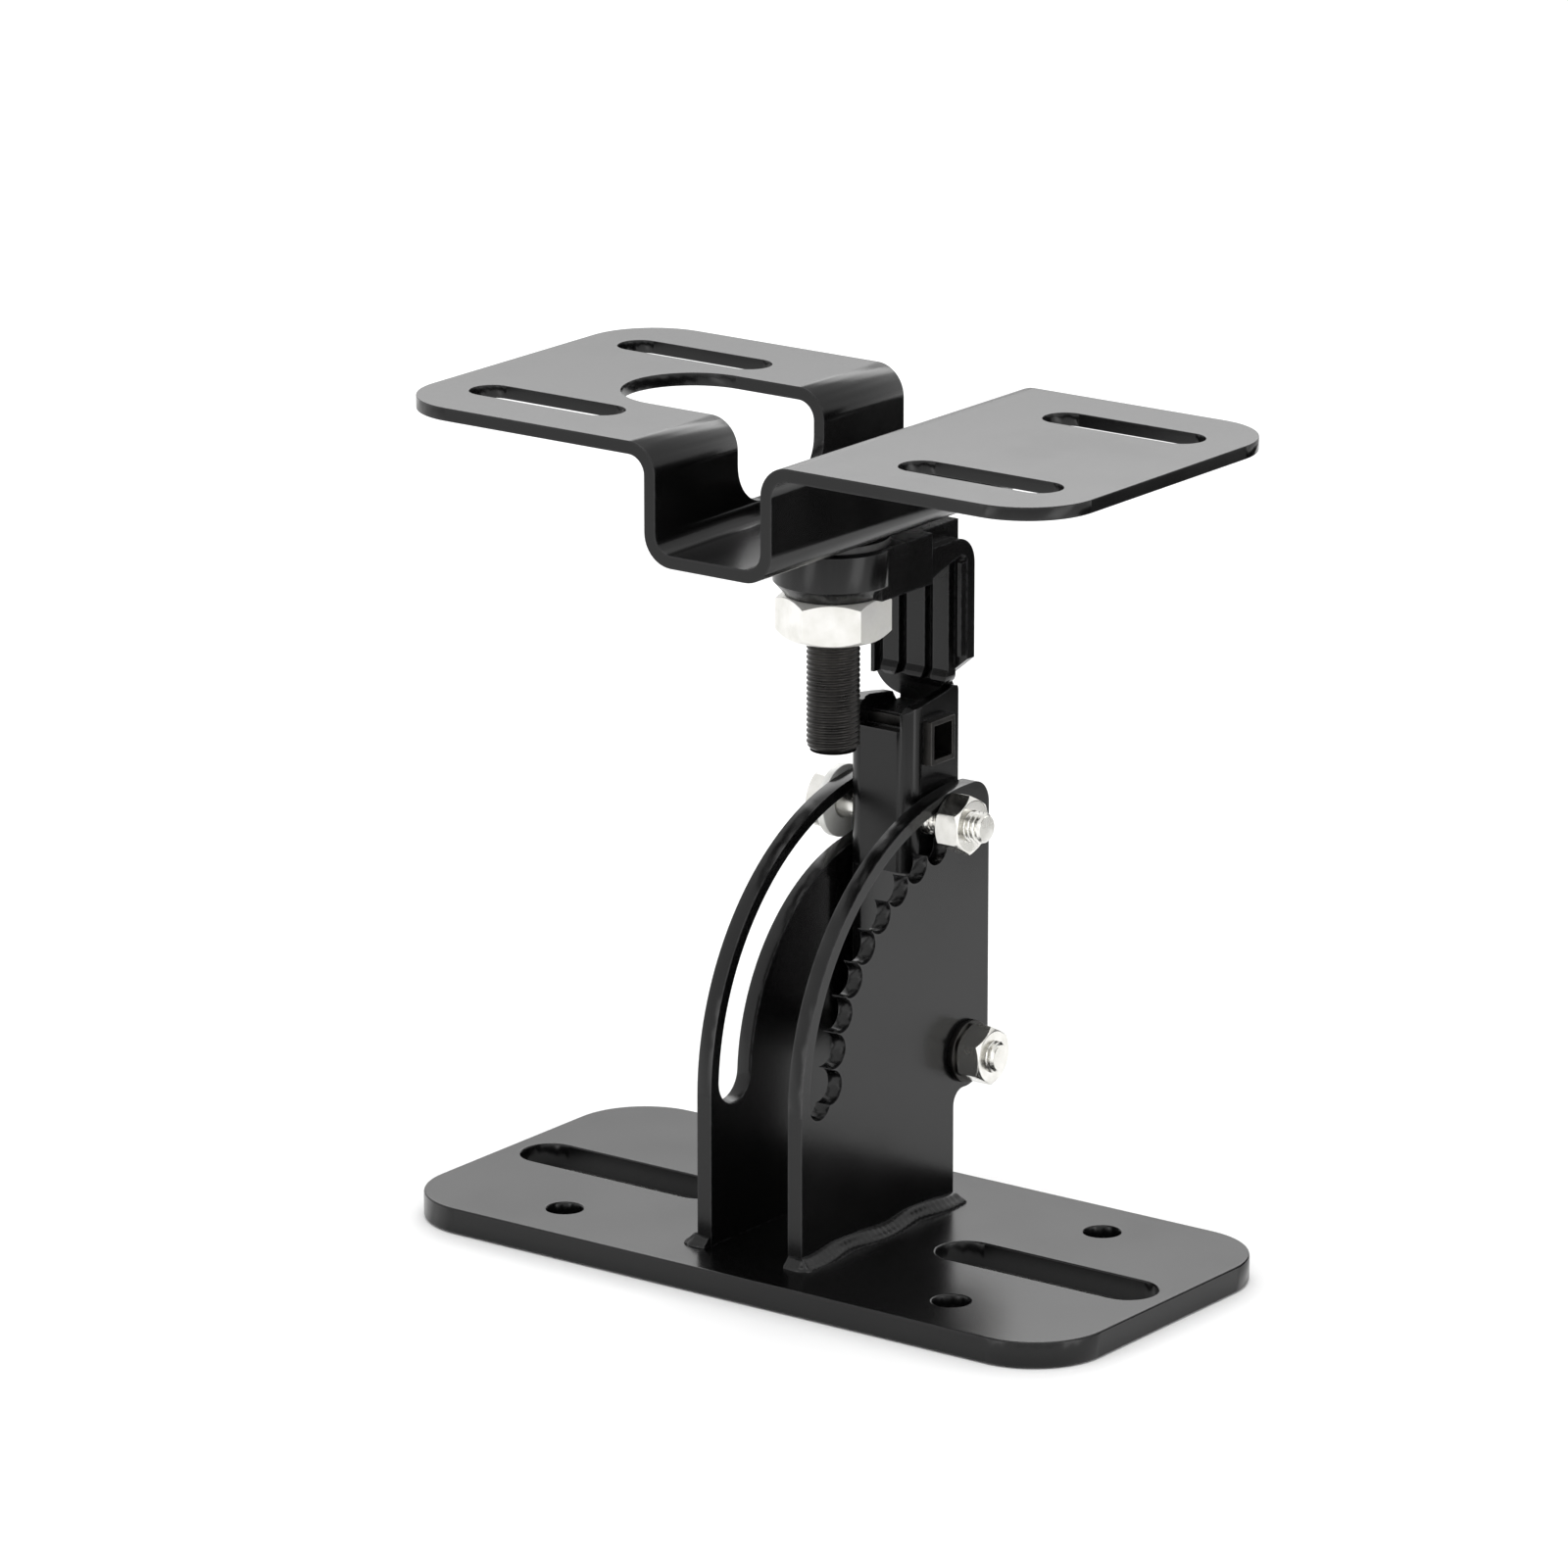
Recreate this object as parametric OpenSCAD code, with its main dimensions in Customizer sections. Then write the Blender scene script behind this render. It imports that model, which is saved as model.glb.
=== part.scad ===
// Swivel speaker bracket: welded quadrant foot, tilting arm, panning top plate.
// Units mm. Z = 0 is the underside of the base plate, X runs along the plates,
// the tilt axis is parallel to X, the pan axis is the Z axis at X = Y = 0.

/* [Base plate] */
// length of the base plate along X
base_l = 152; // [150:1:180]
// width of the base plate along Y
base_w = 74; // [72:1:90]
// thickness of the base plate
base_t = 5; // [4:0.5:6]
// corner radius of the base plate
base_r = 15; // [6:1:20]
// length of each long slot, end to end
base_slot_l = 47.5; // [20:0.5:47.5]
// width of each long slot
base_slot_w = 11.5; // [6:0.5:12]
// distance between the centres of the two long slots
base_slot_pitch = 97.5; // [96:0.5:98]
// diameter of the four small screw holes
base_hole_d = 7; // [4:0.5:8]
// distance between the small holes along X
base_hole_px = 89; // [80:1:100]
// distance between the small holes along Y
base_hole_py = 48.6; // [40:0.2:52]

/* [Quadrant cheeks] */
// thickness of each cheek plate
cheek_t = 3.2; // [2.5:0.1:4]
// clear gap between the two cheeks
cheek_gap = 17.6; // [17.6:0.1:20]
// outer radius of the quadrant
quad_r = 52; // [52:0.1:56]
// radius of the lock screw path
lock_r = 46.4; // [46.2:0.1:46.6]
// inner radius of the curved slot
slot_in_r = 39.7; // [39:0.1:40]
// outer radius of the curved slot
slot_out_r = 49.7; // [49.6:0.1:50]
// number of notches along the toothed slot
notch_n = 9; // [5:1:9]
// angle between two notches
notch_pitch = 9; // [8.5:0.1:9]

/* [Tilt arm] */
// outer width of the folded arm
arm_w = 15; // [14:0.1:15]
// sheet thickness of the arm
arm_t = 2.2; // [2:0.1:2.4]
// height at which the front web of the arm starts
arm_web_z = 70; // [68:1:74]

/* [Knuckle] */
// width of the knuckle
knuckle_w = 20.8; // [20.8:0.2:21.6]
// thickness of the knuckle's back leg
leg_t = 4.2; // [3.9:0.1:4.4]

/* [Top plate] */
// length of the top plate along X
hat_l = 148; // [140:0.5:170]
// width of the top plate along Y
hat_w = 77; // [72:1:84]
// sheet thickness of the top plate
hat_t = 2.5; // [2:0.1:2.6]
// outer width of the folded channel
hat_ch_w = 28.6; // [27:0.2:32]
// length of each mounting slot, end to end
hat_slot_l = 34.2; // [12:0.2:36]
// width of each mounting slot
hat_slot_w = 8.5; // [5:0.1:9]
// distance between slot centres along X
hat_slot_px = 97.4; // [94:0.2:100]
// distance between slot centres along Y
hat_slot_py = 45; // [44:0.5:48]

/* [Screws] */
// nominal diameter of the pan bolt
pan_d = 10; // [10:1:10]
// nominal diameter of the pivot and lock screws
screw_d = 6; // [5.8:0.1:6]

/* [Hidden] */
$fn = 96;

// pivot axis position
piv_y = 26;
piv_z = 33.8;
in_x = cheek_gap / 2;
out_x = in_x + cheek_t;
rest_a = 83;              // angle of the lock screw above the horizontal at rest
slot_low_a = 2;           // angle of the slot's lower end
lock_y = piv_y - lock_r * cos(rest_a);
lock_z = piv_z + lock_r * sin(rest_a);
ear_y = 33;               // back edge of the cheek above the pivot
cheek_back_y = 22;        // back edge of the cheek below the pivot
ear_h = sqrt(pow(quad_r - 5, 2) - pow(ear_y - 5 - piv_y, 2));
arm_front = 14.2;
arm_back = 31.4;          // back edge of the flanges low down
arm_back_top = 29.3;      // and beside the knuckle
arm_side = 7.5 * arm_w / 15;
key_y = 21.95;            // middle of the cross key
key_z = 94.7;
key_w = 7.5;
key_h = 8.5;
leg_front = 26;
leg_back = leg_front + leg_t;
leg_end_z = 108.9;
eye_z0 = 126.3;
eye_z1 = 136;
strap_z1 = 132.8;
bend_r = 5.4;
hub_hw = 11;              // half width of the hub block
hub_back = 15.9;          // back face of the hub block
rib_end_z = 104.3;        // lower ends of the leg's ribs
rib_h = 1.8;
nut_af = 18.6;            // pan nut across flats
nut_turn = 34;
web_z0 = 137.5;           // underside of the top plate's channel
hat_top = 160;
hat_in_r = 3.5;
black = [0.07, 0.07, 0.075];
zinc = [0.83, 0.82, 0.78];
nylon = [0.16, 0.16, 0.17];

module slot2d(l, w) {
    for (s = [-1, 1]) translate([s * (l - w) / 2, 0]) circle(d = w);
    square([l - w, w], center = true);
}

module rrect2d(l, w, r) {
    square([l - 2 * r, w], center = true);
    square([l, w - 2 * r], center = true);
    for (sx = [-1, 1], sy = [-1, 1])
        translate([sx * (l / 2 - r), sy * (w / 2 - r)]) circle(r = r);
}

// flat profile drawn in (Y, Z), thickness along X from x0
module plate_yz(x0, t) {
    translate([x0, 0, 0]) rotate([90, 0, 90]) linear_extrude(height = t) children();
}

module rod_x(x0, x1, d) {
    translate([x0, 0, 0]) rotate([0, 90, 0]) cylinder(d = d, h = x1 - x0);
}

// hexagon prism along Z with the corners turned down at the chosen ends
module hex(af, h, top = true, bottom = false) {
    r = af / sqrt(3);
    c = 0.62 * (r - af / 2);
    intersection() {
        cylinder(r = r, h = h, $fn = 6);
        rotate_extrude() polygon([
            [0, 0],
            [bottom ? af / 2 * 0.97 : r + 0.1, 0],
            [r + 0.1, bottom ? c + 0.25 : 0],
            [r + 0.1, top ? h - c - 0.25 : h],
            [top ? af / 2 * 0.97 : r + 0.1, h],
            [0, h]]);
    }
}

module along_x(x, y, z, dir = 1) {
    translate([x, y, z]) rotate([0, 90 * dir, 0]) children();
}

module washer_x(x0, y, z, od, id, t) {
    translate([x0, y, z]) rotate([0, 90, 0]) difference() {
        cylinder(d = od, h = t);
        translate([0, 0, -1]) cylinder(d = id, h = t + 2);
    }
}

module bolt_end(d, l) {
    rotate_extrude() polygon([[0, 0], [d / 2, 0], [d / 2, l - 0.7], [d / 2 - 0.7, l], [0, l]]);
}

// ---------------------------------------------------------------- base plate
module base_plate() color(black) difference() {
    linear_extrude(height = base_t) rrect2d(base_l, base_w, base_r);
    for (s = [-1, 1]) translate([s * base_slot_pitch / 2, 0, -1])
        linear_extrude(height = base_t + 2) slot2d(base_slot_l, base_slot_w);
    for (sx = [-1, 1], sy = [-1, 1])
        translate([sx * base_hole_px / 2, sy * base_hole_py / 2, -1])
            cylinder(d = base_hole_d, h = base_t + 2);
}

// ------------------------------------------------------------ quadrant cheeks
module cheek2d() {
    intersection() {
        translate([piv_y, piv_z]) circle(r = quad_r);
        translate([piv_y - quad_r, piv_z]) square([quad_r + 2, quad_r + 1]);
    }
    // ear above the pivot, its corner rounded into the quadrant
    translate([piv_y, piv_z]) square([ear_y - piv_y, ear_h]);
    translate([ear_y - 5, piv_z + ear_h]) circle(r = 5);
    translate([piv_y - quad_r, base_t]) square([cheek_back_y - piv_y + quad_r, piv_z - base_t]);
    translate([piv_y, piv_z]) circle(r = 7);
    // step from the lower back edge into the boss round the pivot
    polygon(concat([for (i = [0 : 8]) let (a = 180 - 95.7 * i / 8)
                    [cheek_back_y + 3 + 3 * cos(a), 23.85 + 3 * sin(a)]],
                   [[piv_y, piv_z], [cheek_back_y - 2, piv_z], [cheek_back_y - 2, 23.85]]));
}

module wedge2d(a0, a1) {
    am = (a0 + a1) / 2;
    polygon([[0, 0], [-75 * cos(a0), 75 * sin(a0)], [-75 * cos(am), 75 * sin(am)],
             [-75 * cos(a1), 75 * sin(a1)]]);
}

module arc_band2d(r0, r1, a0, a1) {
    intersection() {
        difference() { circle(r = r1, $fn = 180); circle(r = r0, $fn = 180); }
        wedge2d(a0, a1);
    }
    for (a = [a0, a1])
        translate([-(r0 + r1) / 2 * cos(a), (r0 + r1) / 2 * sin(a)]) circle(r = (r1 - r0) / 2);
}

module smooth_slot2d() {
    translate([piv_y, piv_z]) arc_band2d(slot_in_r, slot_out_r, slot_low_a + 1, rest_a);
}

tooth_r = slot_out_r - screw_d - 0.6;
notch_r = tooth_r - slot_in_r - 0.1;

module toothed_slot2d() {
    translate([piv_y, piv_z]) {
        arc_band2d(tooth_r, slot_out_r, slot_low_a, rest_a);
        for (i = [0 : notch_n - 1]) rotate(-(77 - notch_pitch * i))
            translate([-(slot_in_r + notch_r), 0]) {
                circle(r = notch_r, $fn = 48);
                translate([-1.5, -notch_r]) square([1.5, 2 * notch_r]);
            }
    }
}

module left_cheek() color(black) plate_yz(-out_x, cheek_t) difference() {
    cheek2d();
    translate([piv_y, piv_z]) circle(d = screw_d + 0.2);
    smooth_slot2d();
}

module right_cheek() color(black) plate_yz(in_x, cheek_t) difference() {
    cheek2d();
    translate([piv_y, piv_z]) circle(d = screw_d + 0.2);
    toothed_slot2d();
}

// fillet weld round the foot of one cheek: outside, front end and back end
weld_leg = 3.4;
front_y = piv_y - quad_r;
module weld(s) {
    w = weld_leg;
    mirror([s < 0 ? 1 : 0, 0, 0]) {
        translate([0, cheek_back_y, 0]) rotate([90, 0, 0])
            linear_extrude(height = cheek_back_y - front_y)
                polygon([[out_x, base_t], [out_x + w, base_t], [out_x + 0.4 * w, base_t + 0.5 * w],
                         [out_x, base_t + w]]);
        plate_yz(in_x + 0.2, out_x - in_x + 0.25 * w) {
            polygon([[front_y, base_t], [front_y, base_t + 0.7 * w], [front_y - 0.25 * w, base_t + 0.4 * w],
                     [front_y - 0.7 * w, base_t]]);
            polygon([[cheek_back_y, base_t], [cheek_back_y, base_t + 0.7 * w],
                     [cheek_back_y + 0.25 * w, base_t + 0.4 * w], [cheek_back_y + 0.7 * w, base_t]]);
        }
        for (y = [front_y - 0.2, cheek_back_y - 0.8])
            translate([out_x, y, base_t]) cube([0.25 * w, 1, 0.45 * w]);
    }
}
module left_weld() color(black) weld(-1);
module right_weld() color(black) weld(1);

// ------------------------------------------------------------- pivot hardware
module pivot_bolt() color(zinc) {
    along_x(-out_x - 1.2, piv_y, piv_z, -1) hex(10, 4);
    along_x(-out_x - 1.2, piv_y, piv_z, 1) bolt_end(screw_d, 2 * out_x + 1.2 + 1.2 + 5.2 + 1.6);
}
module pivot_bolt_washer() color(zinc) washer_x(-out_x - 1.2, piv_y, piv_z, 12, screw_d + 0.4, 1.2);
module pivot_nut_washer() color(zinc) washer_x(out_x, piv_y, piv_z, 12, screw_d + 0.4, 1.2);
module pivot_nut() color(zinc) difference() {
    along_x(out_x + 1.2, piv_y, piv_z, 1) hex(10, 5.2, true, true);
    translate([0, piv_y, piv_z]) rod_x(out_x, out_x + 9, screw_d);
}
module spacer_at(s) {
    t = in_x - arm_side - 0.1;
    washer_x(s > 0 ? in_x - t : -in_x, piv_y, piv_z, 10.6, screw_d + 0.3, t);
}
module left_spacer() color(nylon) spacer_at(-1);
module right_spacer() color(nylon) spacer_at(1);

// ------------------------------------------------------------------- tilt arm
arm_ri = 1.2;
arm_ro = arm_ri + arm_t;
module arm_plan2d() {
    translate([-(arm_side - arm_ro), arm_front]) square([2 * (arm_side - arm_ro), arm_t]);
    for (s = [-1, 1]) {
        translate([s > 0 ? arm_side - arm_t : -arm_side, arm_front + arm_ro])
            square([arm_t, arm_back - arm_front - arm_ro]);
        translate([s * (arm_side - arm_ro), arm_front + arm_ro]) intersection() {
            difference() { circle(r = arm_ro); circle(r = arm_ri); }
            translate([s > 0 ? 0 : -arm_ro - 1, -arm_ro - 1]) square([arm_ro + 1, arm_ro + 1]);
        }
    }
}
module arm_side2d() {
    lobe = arm_back - piv_y;
    difference() {
        polygon(concat([[arm_front - 1, piv_z], [arm_front - 1, 99.6], [arm_front + 0.6, 100.9],
                        [arm_front + 1.8, 101.6], [arm_front + 6.3, 102.4], [arm_front + 11, 103.1],
                        [arm_back_top - 1.2, 103.7], [arm_back_top - 0.3, 103.5],
                        [arm_back_top, 102.8], [arm_back_top, 82], [arm_back, 62]],
                       [for (i = [0 : 12]) [piv_y + lobe * cos(7.5 * i), piv_z - lobe * sin(7.5 * i)]],
                       [for (i = [0 : 12]) [arm_front + 2 + lobe - lobe * sin(7.5 * i),
                                            piv_z - lobe * cos(7.5 * i)]]));
        // the flanges below the web are cut back a little
        translate([0, 0]) square([arm_front + 2, arm_web_z - 4]);
        translate([arm_front - 2, arm_web_z - 4]) square([4 - 0.6, 4]);
    }
}
module tilt_arm() color(black) difference() {
    intersection() {
        translate([0, 0, 20]) linear_extrude(height = 90) arm_plan2d();
        plate_yz(-20, 40) arm_side2d();
    }
    // web starts above the lock screw, the flanges run on down to the pivot
    translate([-(arm_side - arm_t), arm_front - 1, 0]) cube([2 * (arm_side - arm_t), arm_t + 4, arm_web_z]);
    translate([0, lock_y, lock_z]) rod_x(-20, 20, screw_d + 0.2);
    translate([0, piv_y, piv_z]) rod_x(-20, 20, screw_d + 0.16);
    key_cut();
    // the web ends lower than the flanges, the left flange is cut back for the leg
    translate([-4.9, arm_front - 1, 97.2]) cube([9.8, arm_t + 3.2, 10]);
    plate_yz(-arm_side - 1, arm_t + 1.4) polygon([
        [arm_front + 3.4, 102.2], [arm_front + 7.8, 101.6], [key_y + 4.2, 100.9], [key_y + 5.4, 99.1],
        [arm_back + 1, 96.8], [arm_back + 1, 108], [arm_front + 3.4, 108]]);
}
module key_cut() translate([-20, key_y - key_w / 2, key_z - key_h / 2]) cube([40, key_w, key_h]);

// -------------------------------------------------------------- lock hardware
module lock_bolt() color(zinc) {
    along_x(-out_x - 1.65, lock_y, lock_z, -1) hex(10, 4);
    along_x(-out_x - 1.65, lock_y, lock_z, 1) bolt_end(screw_d, 2 * out_x + 1.65 + 5.25 + 3.2);
}
module lock_bolt_washer() color(zinc) washer_x(-out_x - 1.65, lock_y, lock_z, 14, screw_d + 0.4, 1.6);
module lock_nut() color(zinc) difference() {
    along_x(out_x + 0.05, lock_y, lock_z, 1) hex(10, 5.2, true, true);
    translate([0, lock_y, lock_z]) rod_x(out_x - 1, out_x + 9, screw_d);
}

// -------------------------------------------------------------------- knuckle
module knuckle_side2d() {
    // strap with a sloping underside, one bend, and the back leg
    difference() {
        polygon(concat([[8, 128.5], [13, 127.2], [16.4, 126.9], [20.9, 128.3], [leg_front + rib_h - 1.6, 129.7],
                        [leg_front + rib_h - 0.4, 129.2], [leg_front + rib_h, 128.2],
                        [leg_front + rib_h, 104.2], [29.7, 99.4], [29.7, 92], [leg_back, 92]],
                       [for (i = [0 : 12]) [leg_back - bend_r + bend_r * cos(7.5 * i),
                                            strap_z1 - bend_r + bend_r * sin(7.5 * i)]],
                       [[8, strap_z1]]));
    }
}
module knuckle_front2d() {
    // outline seen along Y: strap, leg and its rounded lower end
    // the lower left corner is round, the lower right one is cut off beside the arm's flange
    h = knuckle_w / 2;
    polygon(concat([[h, 150], [h, leg_end_z + 0.3], [4.3, 104.1], [4.3, 99.5]],
                   [for (i = [0 : 10]) [-h + 5 - 5 * sin(9 * i), 104.5 - 5 * cos(9 * i)]],
                   [[-h, 150]]));
}
// one raised rib on the front of the leg, its lower end thickened and round
module leg_rib(x0, x1, z0 = rib_end_z) {
    intersection() {
        plate_yz(x0, x1 - x0) polygon([
            [leg_front + rib_h + 0.5, 128.5], [leg_front, 128.5], [leg_front, z0 + 2.6],
            [leg_front - 0.7, z0 + 1.5], [leg_front - 0.9, z0 + 0.7], [leg_front - 0.3, z0],
            [leg_front + rib_h + 0.5, z0 - 0.3]]);
        translate([(x0 + x1) / 2, leg_front + 5, 0]) rotate([90, 0, 0]) linear_extrude(height = 10) {
            translate([0, z0 + (x1 - x0) / 2 - 0.3]) circle(d = x1 - x0);
            translate([-(x1 - x0) / 2, z0 + (x1 - x0) / 2 - 0.3]) square([x1 - x0, 40]);
        }
    }
}
module knuckle() color(black) difference() {
    union() {
        intersection() {
            plate_yz(-knuckle_w / 2, knuckle_w) knuckle_side2d();
            translate([0, 60, 0]) rotate([90, 0, 0]) linear_extrude(height = 100) knuckle_front2d();
        }
        rotate_extrude() polygon([[0, eye_z0], [8.9, eye_z0], [11.2, eye_z0 + 2.6],
                                  [11.2, eye_z1 - 0.5], [10.7, eye_z1], [0, eye_z1]]);
        translate([-hub_hw, 0, eye_z0]) cube([2 * hub_hw, hub_back, eye_z1 - eye_z0]);
        // narrower crown behind the hub
        translate([-8.5, 8, 131]) cube([17, 19.5, eye_z1 - 131]);
        leg_rib(-2.05, 2.05);
        leg_rib(3.9, 7.5);
        leg_rib(-7.5, -3.9);
        // narrow rims at both edges of the leg
        translate([9.5, leg_front, 110]) cube([0.8, rib_h + 0.6, 18]);
        translate([-10.3, leg_front, 104]) cube([0.8, rib_h + 0.6, 24]);
        // tongue inside the folded arm
        plate_yz(-(arm_side - arm_t), 2 * (arm_side - arm_t)) polygon([
            [arm_front + arm_t + arm_ri, 87], [28.4, 87], [31, 90], [31, 102.6], [30, 104.4],
            [28.3, 104.4], [28.5, 101.2], [28.5, 99.2], [19.6, 99.1], [18.3, 97],
            [arm_front + arm_t + arm_ri, 96.4]]);
    }
    // pan bolt bore
    translate([0, 0, eye_z0 - 1]) cylinder(d = pan_d + 0.02, h = 20);
    // hole for the cross key
    key_cut();
}

// rectangular key through both flanges and the tongue, its ends left proud, the right end hollow
module knuckle_pin() color(black) difference() {
    translate([-arm_side - 1.2, key_y - key_w / 2, key_z - key_h / 2]) cube([2 * arm_side + 3, key_w, key_h]);
    translate([arm_side + 1.8 - 5, key_y - key_w / 2 + 1, key_z - key_h / 2 + 1]) cube([6, key_w - 1.9, key_h - 2]);
}

// ---------------------------------------------------------- pan bolt hardware
module pan_bolt() color(black) {
    translate([0, 0, web_z0 + hat_t + 0.05]) hex(17, 6, true, true);
    rotate([180, 0, 0]) translate([0, 0, -(web_z0 + hat_t + 0.05)]) bolt_end(pan_d, web_z0 + hat_t + 0.05 - 96.5);
}
module pan_nut() color(zinc) difference() {
    translate([0, 0, eye_z0 - 8.05]) rotate(nut_turn) hex(nut_af, 8, true, true);
    translate([0, 0, eye_z0 - 12]) cylinder(d = pan_d, h = 14);
}
module pan_friction_washer() color(nylon) translate([0, 0, eye_z1]) difference() {
    cylinder(d = 21, h = 1.4);
    translate([0, 0, -1]) cylinder(d = pan_d + 0.4, h = 4);
}

// ------------------------------------------------------------------ top plate
hat_ro = hat_in_r + hat_t;
ch = hat_ch_w / 2;
module hat_profile2d() {
    translate([-(ch - hat_ro), web_z0]) square([2 * (ch - hat_ro), hat_t]);
    for (s = [0, 1]) mirror([s, 0]) {
        translate([ch - hat_ro, web_z0 + hat_ro]) intersection() {
            difference() { circle(r = hat_ro); circle(r = hat_in_r); }
            translate([0, -hat_ro - 1]) square([hat_ro + 1, hat_ro + 1]);
        }
        translate([ch - hat_t, web_z0 + hat_ro]) square([hat_t, hat_top - web_z0 - 2 * hat_ro]);
        translate([ch + hat_in_r, hat_top - hat_ro]) intersection() {
            difference() { circle(r = hat_ro); circle(r = hat_in_r); }
            translate([-hat_ro - 1, 0]) square([hat_ro + 1, hat_ro + 1]);
        }
        translate([ch + hat_in_r, hat_top - hat_t]) square([hat_l / 2 - ch - hat_in_r, hat_t]);
    }
}
module top_plate() color(black) difference() {
    intersection() {
        translate([0, 60, 0]) rotate([90, 0, 0]) linear_extrude(height = 120) hat_profile2d();
        translate([0, 0, web_z0 - 1]) linear_extrude(height = 30) rrect2d(hat_l, hat_w, 14);
    }
    for (sx = [-1, 1], sy = [-1, 1])
        translate([sx * hat_slot_px / 2, sy * hat_slot_py / 2, hat_top - hat_t - 1])
            linear_extrude(height = hat_t + 2) slot2d(hat_slot_l, hat_slot_w);
    // wrench opening through the left flange and wall
    translate([0, 0, hat_top - hat_ro]) linear_extrude(height = hat_ro + 1) {
        translate([-32.2, 0]) circle(r = 13.3);
        translate([-32.2, -13.3]) square([32.2 - ch + hat_t + 0.5, 26.6]);
    }
    plate_yz(-ch - 3, hat_ro + 2.5) {
        translate([-13.3, 151.2]) square([26.6, 20]);
        translate([-5.3, 143.2]) square([10.6, 20]);
        for (s = [-1, 1]) translate([s * 5.3, 151.2]) circle(r = 8);
    }
    // running hole for the pan bolt
    translate([0, 0, web_z0 - 1]) cylinder(d = pan_d + 0.16, h = hat_t + 2);
}

base_plate();
left_cheek();
right_cheek();
pivot_bolt();
pivot_bolt_washer();
pivot_nut_washer();
pivot_nut();
left_spacer();
right_spacer();
tilt_arm();
lock_bolt();
lock_bolt_washer();
lock_nut();
knuckle();
knuckle_pin();
pan_bolt();
pan_nut();
pan_friction_washer();
top_plate();
left_weld();
right_weld();
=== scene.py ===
import math
import random

import bmesh
import bpy
from mathutils import Matrix, Vector


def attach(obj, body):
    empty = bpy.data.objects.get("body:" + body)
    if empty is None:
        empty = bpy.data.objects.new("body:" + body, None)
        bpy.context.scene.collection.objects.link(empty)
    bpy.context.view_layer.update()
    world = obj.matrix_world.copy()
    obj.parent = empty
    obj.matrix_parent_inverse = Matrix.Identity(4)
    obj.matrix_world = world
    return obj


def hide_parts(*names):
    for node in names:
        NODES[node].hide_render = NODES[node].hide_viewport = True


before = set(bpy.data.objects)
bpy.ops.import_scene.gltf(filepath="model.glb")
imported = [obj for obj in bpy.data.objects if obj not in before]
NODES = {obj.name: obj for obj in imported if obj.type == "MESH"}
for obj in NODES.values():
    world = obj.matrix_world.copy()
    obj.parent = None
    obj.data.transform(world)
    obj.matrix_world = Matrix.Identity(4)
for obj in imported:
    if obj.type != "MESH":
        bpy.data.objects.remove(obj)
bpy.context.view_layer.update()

MM = 0.001

# ------------------------------------------------------------------ helpers


def new_material(name):
    m = bpy.data.materials.new(name)
    m.use_nodes = True
    nt = m.node_tree
    b = nt.nodes["Principled BSDF"]
    return m, nt, b


def coords(nt, scale=(1, 1, 1)):
    tc = nt.nodes.new("ShaderNodeTexCoord")
    mp = nt.nodes.new("ShaderNodeMapping")
    mp.inputs["Scale"].default_value = scale
    nt.links.new(tc.outputs["Object"], mp.inputs["Vector"])
    return mp.outputs["Vector"]


def noise(nt, vec, scale, detail=2.0, rough=0.5):
    n = nt.nodes.new("ShaderNodeTexNoise")
    n.inputs["Scale"].default_value = scale
    n.inputs["Detail"].default_value = detail
    n.inputs["Roughness"].default_value = rough
    nt.links.new(vec, n.inputs["Vector"])
    return n.outputs["Fac"]


def map_range(nt, value, a, b, c, d):
    r = nt.nodes.new("ShaderNodeMapRange")
    r.inputs["From Min"].default_value = a
    r.inputs["From Max"].default_value = b
    r.inputs["To Min"].default_value = c
    r.inputs["To Max"].default_value = d
    nt.links.new(value, r.inputs["Value"])
    return r.outputs["Result"]


def bump(nt, height, strength, distance, normal=None):
    b = nt.nodes.new("ShaderNodeBump")
    b.inputs["Strength"].default_value = strength
    b.inputs["Distance"].default_value = distance
    nt.links.new(height, b.inputs["Height"])
    if normal is not None:
        nt.links.new(normal, b.inputs["Normal"])
    return b.outputs["Normal"]


def mix_colour(nt, fac, c1, c2):
    m = nt.nodes.new("ShaderNodeMix")
    m.data_type = "RGBA"
    nt.links.new(fac, m.inputs["Factor"])
    m.inputs["A"].default_value = (*c1, 1)
    m.inputs["B"].default_value = (*c2, 1)
    return m.outputs["Result"]


def painted_edge_highlight(nt, radius):
    """1 on the outer edges, where a lighter colour is painted as an edge highlight; 0 on the flats."""
    bev = nt.nodes.new("ShaderNodeBevel")
    bev.samples = 4
    bev.inputs["Radius"].default_value = radius
    geo = nt.nodes.new("ShaderNodeNewGeometry")
    dot = nt.nodes.new("ShaderNodeVectorMath")
    dot.operation = "DOT_PRODUCT"
    nt.links.new(bev.outputs["Normal"], dot.inputs[0])
    nt.links.new(geo.outputs["True Normal"], dot.inputs[1])
    return map_range(nt, dot.outputs["Value"], 0.97, 0.80, 0.0, 1.0)


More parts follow.
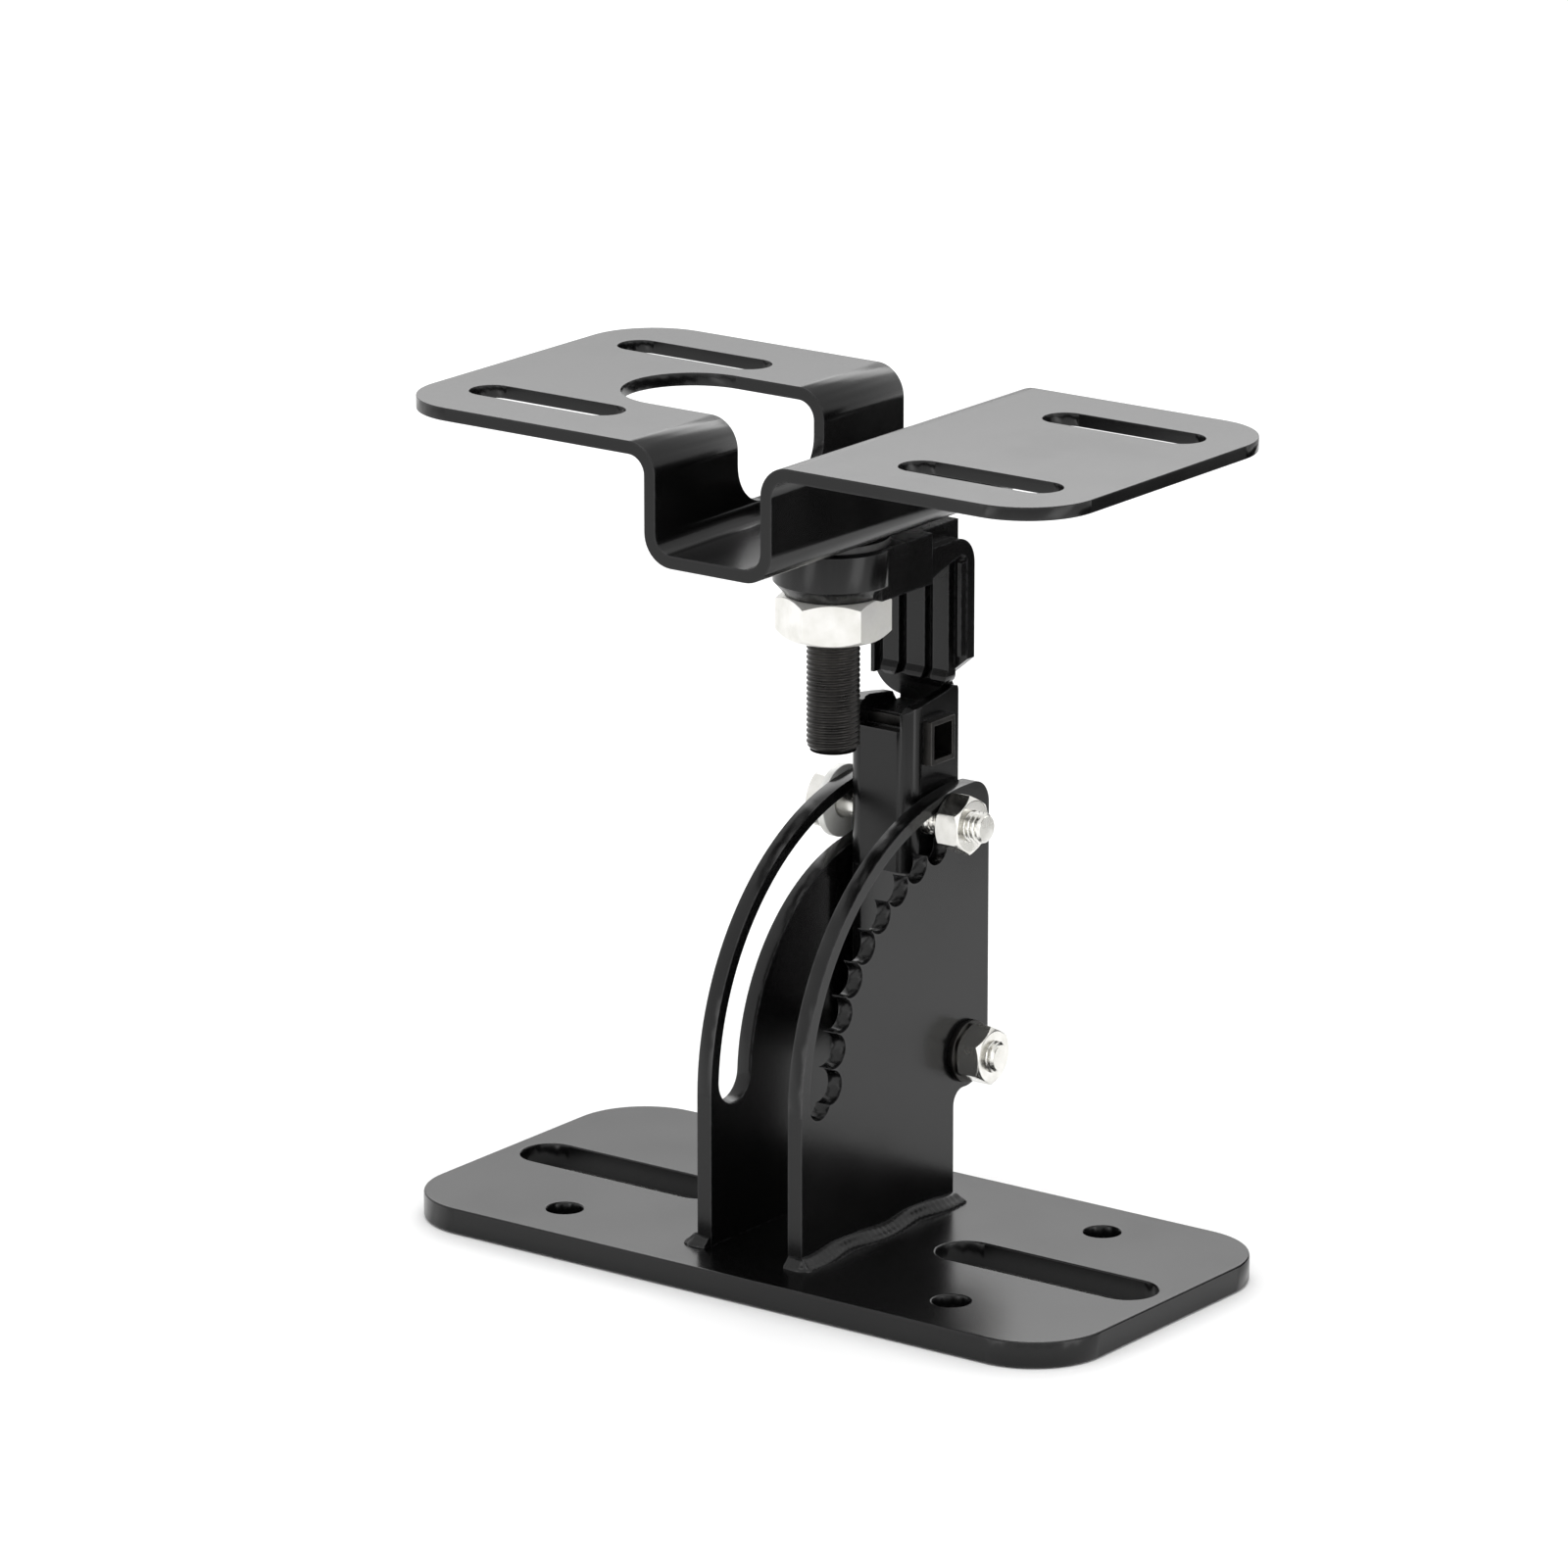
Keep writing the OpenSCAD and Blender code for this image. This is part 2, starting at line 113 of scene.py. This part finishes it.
def powder_coat(name, base=(0.0019, 0.0019, 0.0020), rough=(0.20, 0.27), spec=0.42, peel=0.06):
    """Satin black powder coat: orange-peel bump, faint haze in the gloss, and a painted highlight: greyer colour on
    the edges, broken up by noise.
    """
    m, nt, b = new_material(name)
    v = coords(nt)
    haze = noise(nt, v, 55.0, 3.0)
    fine = noise(nt, v, 1100.0, 2.0)
    grain = noise(nt, v, 4200.0, 1.0)
    # painted highlight: the outer edges are mixed towards grey below
    edge = painted_edge_highlight(nt, 0.0007)
    edge_highlight_paint = nt.nodes.new("ShaderNodeMath")
    edge_highlight_paint.operation = "MULTIPLY"
    nt.links.new(edge, edge_highlight_paint.inputs[0])
    nt.links.new(map_range(nt, noise(nt, v, 700.0, 3.0), 0.35, 0.62, 0.25, 1.0), edge_highlight_paint.inputs[1])
    nt.links.new(mix_colour(nt, edge_highlight_paint.outputs[0], base, (0.030, 0.030, 0.031)), b.inputs["Base Color"])
    nt.links.new(map_range(nt, haze, 0.3, 0.7, rough[0], rough[1]), b.inputs["Roughness"])
    n1 = bump(nt, fine, peel, 0.00006)
    n2 = bump(nt, grain, peel * 0.6, 0.00002, n1)
    nt.links.new(n2, b.inputs["Normal"])
    b.inputs["Specular IOR Level"].default_value = spec
    b.inputs["IOR"].default_value = 1.45
    return m


def bright_zinc(name, tint=(0.86, 0.85, 0.82), metal=1.0, rough=(0.16, 0.30)):
    """Bright zinc plate: slight brushing, cloudy gloss, patches of darker tone at random."""
    m, nt, b = new_material(name)
    v = coords(nt)
    cloud = noise(nt, v, 240.0, 3.0)
    scratch = noise(nt, coords(nt, (900.0, 900.0, 9000.0)), 1.0, 2.0)
    nt.links.new(mix_colour(nt, map_range(nt, cloud, 0.35, 0.65, 0.0, 1.0), tint,
                            (tint[0] * 0.86, tint[1] * 0.86, tint[2] * 0.84)), b.inputs["Base Color"])
    nt.links.new(map_range(nt, cloud, 0.3, 0.7, rough[0], rough[1]), b.inputs["Roughness"])
    nt.links.new(bump(nt, scratch, 0.08, 0.00003), b.inputs["Normal"])
    b.inputs["Metallic"].default_value = metal
    return m


def black_oxide(name):
    """Oiled black oxide on steel: dark, semi-gloss, a little brown, with a painted highlight: lighter colour on the
    edges.
    """
    m, nt, b = new_material(name)
    v = coords(nt)
    cloud = noise(nt, v, 330.0, 3.0)
    # painted highlight: the edges are mixed towards a lighter grey
    edge = painted_edge_highlight(nt, 0.0004)
    base = mix_colour(nt, map_range(nt, cloud, 0.35, 0.65, 0.0, 1.0), (0.021, 0.020, 0.019), (0.033, 0.031, 0.029))
    edge_highlight_mix = nt.nodes.new("ShaderNodeMix")
    edge_highlight_mix.data_type = "RGBA"
    nt.links.new(map_range(nt, edge, 0.0, 1.0, 0.0, 0.35), edge_highlight_mix.inputs["Factor"])
    nt.links.new(base, edge_highlight_mix.inputs["A"])
    edge_highlight_mix.inputs["B"].default_value = (0.16, 0.155, 0.15, 1)
    nt.links.new(edge_highlight_mix.outputs["Result"], b.inputs["Base Color"])
    nt.links.new(map_range(nt, cloud, 0.3, 0.7, 0.26, 0.40), b.inputs["Roughness"])
    nt.links.new(bump(nt, noise(nt, v, 2600.0, 2.0), 0.10, 0.00003), b.inputs["Normal"])
    b.inputs["Metallic"].default_value = 0.85
    return m


def nylon(name):
    """Dull black nylon washer: moulded grain."""
    m, nt, b = new_material(name)
    v = coords(nt)
    nt.links.new(mix_colour(nt, map_range(nt, noise(nt, v, 420.0, 3.0), 0.35, 0.65, 0.0, 1.0),
                            (0.014, 0.014, 0.014), (0.024, 0.023, 0.022)), b.inputs["Base Color"])
    nt.links.new(map_range(nt, noise(nt, v, 900.0, 2.0), 0.3, 0.7, 0.45, 0.62), b.inputs["Roughness"])
    nt.links.new(bump(nt, noise(nt, v, 3000.0, 2.0), 0.15, 0.00004), b.inputs["Normal"])
    b.inputs["IOR"].default_value = 1.53
    return m


def assign(obj, mat):
    obj.data.materials.clear()
    obj.data.materials.append(mat)


def soften(obj, width, segments=2, angle=32):
    """Rounded sheet edges on a CAD node, by modifiers only."""
    w = obj.modifiers.new("join", "WELD")
    w.merge_threshold = 2e-6
    d = obj.modifiers.new("flats", "DECIMATE")
    d.decimate_type = "DISSOLVE"
    d.angle_limit = math.radians(0.6)
    b = obj.modifiers.new("edge", "BEVEL")
    b.width = width
    b.segments = segments
    b.limit_method = "ANGLE"
    b.angle_limit = math.radians(angle)
    b.miter_outer = "MITER_ARC"
    b.harden_normals = True
    b.use_clamp_overlap = True


def mesh_object(name, verts, faces, body, mat, smooth_angle=35):
    me = bpy.data.meshes.new(name)
    me.from_pydata([tuple(v) for v in verts], [], faces)
    me.validate()
    bm = bmesh.new()
    bm.from_mesh(me)
    bmesh.ops.remove_doubles(bm, verts=bm.verts, dist=1e-7)
    bmesh.ops.recalc_face_normals(bm, faces=bm.faces)
    lim = math.radians(smooth_angle)
    for f in bm.faces:
        f.smooth = True
    for e in bm.edges:
        e.smooth = not (len(e.link_faces) == 2 and e.calc_face_angle(0) > lim)
    bm.to_mesh(me)
    bm.free()
    o = bpy.data.objects.new(name, me)
    bpy.context.scene.collection.objects.link(o)
    me.materials.append(mat)
    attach(o, body)
    return o


# ---------------------------------------------------------------- materials

COAT = powder_coat("black_powder_coat")
COAT_FOOT = powder_coat("black_powder_coat_foot", rough=(0.19, 0.25))
COAT_CAST = powder_coat("black_powder_coat_cast", rough=(0.22, 0.32), peel=0.12)
ZINC = bright_zinc("bright_zinc")
ZINC_DULL = bright_zinc("dull_zinc", (0.93, 0.93, 0.91), 0.35, (0.42, 0.58))
ZINC_NUT = bright_zinc("nut_zinc", (0.92, 0.91, 0.88), 0.55, (0.28, 0.42))
OXIDE = black_oxide("black_oxide")
NYLON = nylon("black_nylon")

LOOK = {
    "base_plate": (COAT_FOOT, 0.00045),
    "left_cheek": (COAT_FOOT, 0.00035),
    "right_cheek": (COAT_FOOT, 0.00035),
    "tilt_arm": (COAT, 0.0003),
    "top_plate": (COAT, 0.0004),
    "knuckle": (COAT_CAST, 0.0006),
    "knuckle_pin": (OXIDE, 0.00015),
    "pan_nut": (ZINC_NUT, 0.00018),
    "lock_nut": (ZINC, 0.00014),
    "pivot_nut": (ZINC, 0.00014),
    "pivot_bolt_washer": (ZINC_DULL, 0.00012),
    "pivot_nut_washer": (OXIDE, 0.00012),
    "lock_bolt_washer": (ZINC_DULL, 0.00015),
    "left_spacer": (NYLON, 0.0001),
    "right_spacer": (NYLON, 0.0001),
    "pan_friction_washer": (NYLON, 0.0001),
    "left_weld": (COAT_FOOT, 0),
    "right_weld": (COAT_FOOT, 0),
    "pan_bolt": (OXIDE, 0),
    "pivot_bolt": (ZINC, 0),
    "lock_bolt": (ZINC, 0),
}
for node, (mat, width) in LOOK.items():
    assign(NODES[node], mat)
    if width:
        soften(NODES[node], width)


# ------------------------------------------------------------- threaded bolts

def bolt_mesh(af, head_h, d, pitch, length, plain, seg=48, point=0.8, gap=0.0, cut=0.613):
    """Hex bolt along +Z from the head's seat at z=0, head below. Thread runs from z=plain to z=length. In mm."""
    verts, faces = [], []
    r, tip = d / 2, cut * pitch
    step = pitch / 10.0
    zs = []
    z = plain - pitch
    while z < length - 1e-6:
        zs.append(z)
        z += step
    zs.append(length)

    def ring(radius_of, zz):
        base = len(verts)
        for k in range(seg):
            a = 2 * math.pi * k / seg
            rr = radius_of(k)
            verts.append((rr * math.cos(a), rr * math.sin(a), zz))
        return base

    def join(b0, b1):
        for k in range(seg):
            n = (k + 1) % seg
            faces.append((b0 + k, b0 + n, b1 + n, b1 + k))

    def thread_r(k, zz):
        ph = (zz / pitch - k / seg) % 1.0
        tri = abs(2 * ph - 1)
        depth = min(max((tri - 0.12) / 0.66, 0.0), 1.0)
        run_in = min(max((zz - plain) / pitch, 0.0), 1.0)
        rr = r - tip * depth * run_in
        end = length - zz
        return min(rr, r - max(point - end, 0.0))

    rings = [ring(lambda k: r, 0.0), ring(lambda k: r, max(plain - pitch, 0.01))]
    for zz in zs[1:]:
        rings.append(ring(lambda k, q=zz: thread_r(k, q), zz))
    rings.append(ring(lambda k: r - tip - point * 0.35, length))
    for b0, b1 in zip(rings, rings[1:]):
        join(b0, b1)
    centre = len(verts)
    verts.append((0, 0, length + 0.0))
    for k in range(seg):
        faces.append((rings[-1] + k, rings[-1] + (k + 1) % seg, centre))
    # head: washer face, hexagon with its corners turned down
    hexr = af / math.sqrt(3)
    n = 72

    def hex_radius(a):
        t = (a + math.pi / 6) % (math.pi / 3) - math.pi / 6
        return (af / 2) / math.cos(t)

    def hring(zz, cap, shape=True):
        base = len(verts)
        for k in range(n):
            a = 2 * math.pi * k / n
            rr = min(hex_radius(a), cap) if shape else cap
            verts.append((rr * math.cos(a), rr * math.sin(a), zz))
        return base

    levels = [(-gap, af / 2 * 0.93, False), (-gap - 0.15, af / 2 * 0.95, False), (-gap - 0.45, hexr - 0.02, True)]
    steps = 7
    cham = 0.60 * (hexr - af / 2) + 0.2
    levels.append((-(head_h - cham), hexr, True))
    for i in range(1, steps + 1):
        q = i / steps
        levels.append((-(head_h - cham + cham * q), hexr - (hexr - af / 2 * 0.955) * q ** 1.15, True))
    levels.append((-head_h, af / 2 * 0.90, False))
    hr = [hring(zz, cap, shape) for zz, cap, shape in levels]
    for b0, b1 in zip(hr, hr[1:]):
        for k in range(n):
            m = (k + 1) % n
            faces.append((b0 + k, b1 + k, b1 + m, b0 + m))
    top = len(verts)
    verts.append((0, 0, -head_h))
    for k in range(n):
        faces.append((hr[-1] + (k + 1) % n, hr[-1] + k, top))
    seat = len(verts)
    verts.append((0, 0, 0))
    for k in range(n):
        faces.append((hr[0] + k, hr[0] + (k + 1) % n, seat))
    # close the shank's top inside the head
    cap = len(verts)
    verts.append((0, 0, 0.0))
    for k in range(seg):
        faces.append((rings[0] + (k + 1) % seg, rings[0] + k, cap))
    return verts, faces


def place(verts, origin, zdir, xdir):
    z = Vector(zdir).normalized()
    x = Vector(xdir).normalized()
    y = z.cross(x)
    o = Vector(origin)
    return [(o + x * v[0] + y * v[1] + z * v[2]) * MM for v in verts]


PIV_Y, PIV_Z = 26.0, 33.8
LOCK_R, REST = 46.4, math.radians(83)
LOCK_Y, LOCK_Z = PIV_Y - LOCK_R * math.cos(REST), PIV_Z + LOCK_R * math.sin(REST)

v, f = bolt_mesh(17, 6.0, 9.96, 1.0, 43.55, 13.0, seg=64, point=1.1, cut=0.30)
pan_bolt = mesh_object("pan_bolt_threaded", place(v, (0, 0, 140.05), (0, 0, -1), (1, 0, 0)), f, "tilting arm", OXIDE)
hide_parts("pan_bolt")

v, f = bolt_mesh(10, 4.0, 5.96, 1.0, 33.2, 22.0, seg=48, point=0.6)
pivot_bolt = mesh_object("pivot_bolt_threaded", place(v, (-13.2, PIV_Y, PIV_Z), (1, 0, 0), (0, 0, 1)), f, "foot", ZINC)
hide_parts("pivot_bolt")

v, f = bolt_mesh(10, 4.0, 5.96, 1.0, 34.1, 22.0, seg=48, point=0.6)
lock_bolt = mesh_object("lock_bolt_threaded", place(v, (-13.65, LOCK_Y, LOCK_Z), (1, 0, 0), (0, 0, 1)), f, "tilting arm", ZINC)
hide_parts("lock_bolt")


# ------------------------------------------------------------------ weld beads

def weld_bead(name, side, node):
    """One hand-laid bead: along the cheek's foot outside, wrapping round both ends."""
    rnd = random.Random(41 if side > 0 else 97)
    front, back, out, inner, z0 = -26.0, 22.0, 12.0, 9.2, 5.0
    path = []
    # (point on the corner line, outward direction)
    def add(p, d):
        path.append((Vector(p), Vector(d).normalized()))
    n = 7
    for i in range(n):
        t = i / (n - 1)
        add((inner + (out - inner) * t, front, z0), (0, -1, 0))
    for i in range(1, 9):
        a = math.radians(90 * i / 9)
        add((out, front, z0), (math.sin(a), -math.cos(a), 0))
    m = 110
    for i in range(m + 1):
        t = i / m
        add((out, front + (back - front) * t, z0), (1, 0, 0))
    for i in range(1, 9):
        a = math.radians(90 * i / 9)
        add((out, back, z0), (math.cos(a), math.sin(a), 0))
    for i in range(n):
        t = i / (n - 1)
        add((out - (out - inner) * t, back, z0), (0, 1, 0))
    verts, faces = [], []
    arc = 9
    s, prev = 0.0, None
    phase = rnd.uniform(0, 6)
    wob = [rnd.uniform(0, 6.28) for _ in range(4)]
    for p, d in path:
        if prev is not None:
            s += (p - prev).length
        prev = p
        ripple = 0.10 * abs(math.sin(s * 2.1 + phase)) + 0.10 * math.sin(s * 0.55 + wob[0]) + 0.08 * math.sin(s * 0.23 + wob[1])
        leg = 2.55 + 0.35 * math.sin(s * 0.31 + wob[2]) + ripple
        rise = 2.35 + 0.40 * math.sin(s * 0.27 + wob[3]) + ripple
        if abs(d.y) > 0.5:
            leg *= 0.80
            rise *= 0.85
        for j in range(arc):
            q = j / (arc - 1)
            a = math.radians(90 * q)
            bulge = 1.0 - 0.20 * math.sin(2 * a) ** 2
            u = max(leg * math.cos(a) * bulge, -0.05)
            w = max(rise * math.sin(a) * bulge, -0.05)
            pt = p + d * (u - 0.04) + Vector((0, 0, w - 0.03))
            verts.append(pt)
        verts.append(p + d * -0.15 + Vector((0, 0, -0.1)))
    k = arc + 1
    rows = len(path)
    for i in range(rows - 1):
        for j in range(k):
            a, b = i * k + j, i * k + (j + 1) % k
            faces.append((a, b, b + k, a + k))
    faces.append(tuple(range(k)))
    faces.append(tuple(reversed(range((rows - 1) * k, rows * k))))
    if side < 0:
        verts = [Vector((-p.x, p.y, p.z)) for p in verts]
    verts = [p * MM for p in verts]
    o = mesh_object(name, verts, faces, "foot", COAT_CAST, 60)
    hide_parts(node)
    return o


weld_bead("right_weld_bead", 1, "right_weld")
weld_bead("left_weld_bead", -1, "left_weld")

# ----------------------------------------------------------------- stage

def pale_floor():
    m, nt, b = new_material("studio_floor")
    v = coords(nt)
    nt.links.new(mix_colour(nt, map_range(nt, noise(nt, v, 3.0, 2.0), 0.3, 0.7, 0.0, 1.0),
                            (0.93, 0.93, 0.93), (0.95, 0.95, 0.95)), b.inputs["Base Color"])
    b.inputs["Roughness"].default_value = 0.9
    b.inputs["Specular IOR Level"].default_value = 0.1
    return m


bm = bmesh.new()
bmesh.ops.create_grid(bm, x_segments=2, y_segments=2, size=8.0)
me = bpy.data.meshes.new("floor")
bm.to_mesh(me)
bm.free()
floor = bpy.data.objects.new("floor", me)
floor.location = (0, 0, -0.0002)
bpy.context.scene.collection.objects.link(floor)
me.materials.append(pale_floor())

world = bpy.data.worlds.new("studio") if bpy.context.scene.world is None else bpy.context.scene.world
bpy.context.scene.world = world
world.use_nodes = True
bg = world.node_tree.nodes.get("Background") or world.node_tree.nodes.new("ShaderNodeBackground")
bg.inputs["Color"].default_value = (1.0, 1.0, 1.0, 1)
bg.inputs["Strength"].default_value = 1.0


def area(name, loc, target, size, power, size_y=None):
    ld = bpy.data.lights.new(name, "AREA")
    ld.shape = "RECTANGLE"
    ld.size = size
    ld.size_y = size_y or size
    ld.energy = power
    o = bpy.data.objects.new(name, ld)
    o.location = loc
    o.rotation_mode = "QUATERNION"
    o.rotation_quaternion = (Vector(target) - Vector(loc)).to_track_quat("-Z", "Y")
    bpy.context.scene.collection.objects.link(o)
    o.visible_camera = False
    return o


area("back_card", (-0.62, 0.84, 0.75), (0, 0, 0.15), 1.1, 4.0, 0.6)
area("top_box", (0.1, -0.1, 1.1), (0, 0, 0.1), 0.8, 3.0)
# two slim strips that draw the upright highlights down the round parts
area("strip_right", (0.34, -0.06, 0.10), (0, 0, 0.10), 0.13, 0.16, 0.22)
area("strip_left", (-0.06, -0.34, 0.10), (0, 0, 0.10), 0.09, 0.11, 0.22)


def flag(name, corners):
    me = bpy.data.meshes.new(name)
    me.from_pydata(corners, [], [(0, 1, 2, 3)])
    o = bpy.data.objects.new(name, me)
    bpy.context.scene.collection.objects.link(o)
    m, nt, b = new_material(name + "_cloth")
    v = coords(nt)
    nt.links.new(mix_colour(nt, noise(nt, v, 40.0), (0.002, 0.002, 0.002), (0.004, 0.004, 0.004)), b.inputs["Base Color"])
    b.inputs["Roughness"].default_value = 0.9
    b.inputs["Specular IOR Level"].default_value = 0.0
    me.materials.append(m)
    o.visible_camera = False
    o.visible_diffuse = False
    o.visible_shadow = False
    o.visible_transmission = False
    return o


# black card standing behind on the right: the upper faces that look right mirror it, the foot's don't
CARD = Vector((0.5936, 0.8047, 0.0))
SIDE = Vector((0.8047, -0.5936, 0.0))
c0 = CARD * 0.26
flag("flag_back", [tuple(c0 - SIDE * 0.16 + Vector((0, 0, 0.018))), tuple(c0 + SIDE * 0.16 + Vector((0, 0, 0.018))),
                   tuple(c0 + SIDE * 0.16 + Vector((0, 0, 0.115))), tuple(c0 - SIDE * 0.16 + Vector((0, 0, 0.115)))])

# ---------------------------------------------------------------- camera

AZ, EL, FOCAL_PX = math.radians(36.42), math.radians(15.96), 9330.0
n = Vector((math.sin(AZ) * math.cos(EL), -math.cos(AZ) * math.cos(EL), math.sin(EL)))
r = Vector((math.cos(AZ), math.sin(AZ), 0))
u = n.cross(r)
cd = bpy.data.cameras.new("camera")
cam = bpy.data.objects.new("camera", cd)
bpy.context.scene.collection.objects.link(cam)
cd.sensor_fit = "HORIZONTAL"
cd.sensor_width = 36.0
cd.lens = FOCAL_PX / 1600 * 36.0
cd.clip_start = 0.05
cd.clip_end = 60
cam.location = (n * 1710.4 + r * -9.06 + u * 82.7 + Vector((0, 0, 5))) * MM
cam.rotation_mode = "QUATERNION"
cam.rotation_quaternion = Matrix((r, u, n)).transposed().to_quaternion()
bpy.context.scene.camera = cam
bpy.context.scene.view_settings.view_transform = "Standard"
bpy.context.scene.view_settings.look = "None"

bpy.context.view_layer.update()
